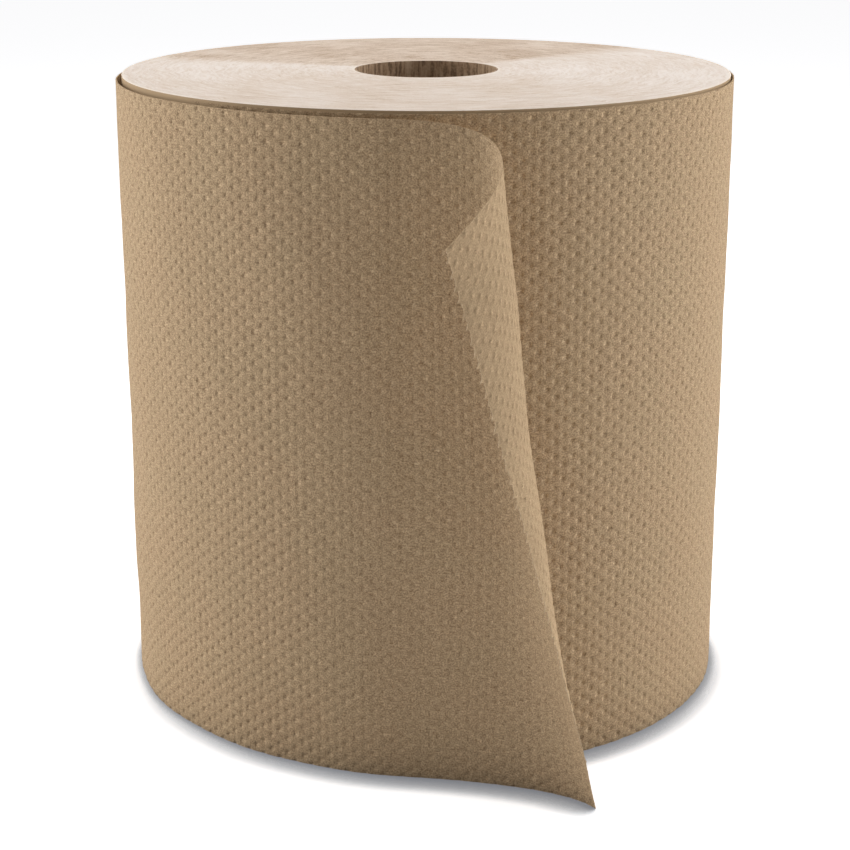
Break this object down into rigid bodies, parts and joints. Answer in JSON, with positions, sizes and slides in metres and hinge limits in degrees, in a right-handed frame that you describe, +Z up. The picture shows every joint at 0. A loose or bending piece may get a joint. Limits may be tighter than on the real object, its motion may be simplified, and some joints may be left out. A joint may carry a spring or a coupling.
{
  "type": "paper towel roll",
  "caption": "Standing roll of embossed kraft paper towel on a thin paperboard core, its outer turn loose and its torn end curling forward.",
  "frame": {"origin": "centre of the core's bore in the plane of the lower end that the roll stands on", "axes": "+Z up the roll's axis, -Y towards the front where the free tail is, +X to the right of the front"},
  "size_m": [0.1975, 0.2576, 0.2],
  "materials": {
    "paper": "matte",
    "core_board": "matte"
  },
  "bodies": {
    "root": {"paper_roll": "paper", "core": "core_board"}
  },
  "joints": []
}
